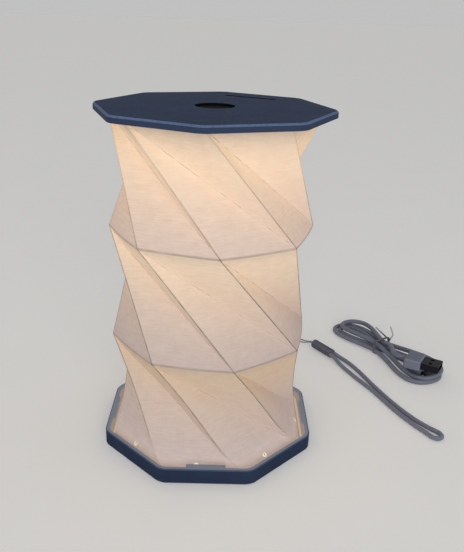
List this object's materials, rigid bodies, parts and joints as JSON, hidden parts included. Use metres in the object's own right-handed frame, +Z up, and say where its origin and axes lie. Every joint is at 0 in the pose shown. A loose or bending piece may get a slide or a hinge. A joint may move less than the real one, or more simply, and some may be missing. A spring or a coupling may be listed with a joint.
{
  "type": "folding mood lamp",
  "caption": "Octagonal table lamp with a twist-folded paper shade between a shallow base tray and a flat lid, with a wound charging cable and a wrist strap beside it.",
  "frame": {"origin": "middle of the foot pad's underside, on the table", "axes": "+Z up along the fold axis, -Y towards the front side of the base, +Y towards the side with the charging socket and the button"},
  "size_m": [0.2149, 0.1944, 0.1809],
  "materials": {
    "navy_plastic": "fine satin",
    "black_plastic": "matt",
    "paper": "matt translucent sheet with folded edges, lit from inside",
    "reflector": "white sheet",
    "diffuser": "milky",
    "led_lens": "clear resin over phosphor",
    "circuit_board": "solder mask",
    "battery_wrap": "foil pouch",
    "lead_film": "amber film",
    "steel": "plated",
    "nickel": "nickel plate",
    "foot_rubber": "foam sheet",
    "cable_jacket": "satin jacket",
    "plug_grip": "satin moulding",
    "tie_wire": "coated wire",
    "woven_cord": "woven",
    "sleeve": "satin"
  },
  "bodies": {
    "base": {"base_tray": "navy_plastic", "bottom_cover": "navy_plastic", "cover_screws": "steel", "foot_pad": "foot_rubber", "reflector_sheet": "reflector", "shade": "paper", "led_board": "circuit_board", "leds": "led_lens", "diffuser_cap": "diffuser", "battery_cell": "battery_wrap", "control_board": "circuit_board", "usb_socket": "steel", "tact_switch": "black_plastic", "battery_lead": "lead_film", "base_magnets": "nickel", "charging_cable": "cable_jacket", "usb_a_grip": "plug_grip", "usb_a_shell": "steel", "usb_a_tongue": "black_plastic", "micro_usb_grip": "plug_grip", "micro_usb_shell": "steel", "cable_tie": "tie_wire", "strap_cord": "woven_cord", "strap_thread": "woven_cord", "strap_sleeve": "sleeve"},
    "lid_hub": {"hang_disc": "black_plastic"},
    "lid": {"lid_shell": "navy_plastic", "lid_liner": "navy_plastic", "lid_magnets": "nickel"},
    "button": {"power_button": "navy_plastic"}
  },
  "joints": [
    {"name": "fold", "type": "slide", "parent": "base", "child": "lid_hub", "axis": [0, 0, -1], "range_m": [0, 0.1687], "deforming": ["shade"]},
    {"name": "twist", "type": "hinge", "parent": "lid_hub", "child": "lid", "pos_m": [0, 0, 0.1775], "axis": [0, 0, -1], "range_deg": [0, 109]},
    {"name": "press", "type": "slide", "parent": "base", "child": "button", "axis": [0, -1, 0], "range_m": [0, 0.0005], "stiffness_N_per_m": 2000}
  ],
  "couplings": [
    {"joint": "twist", "follows": "fold", "rad_per_m": 11.27}
  ]
}
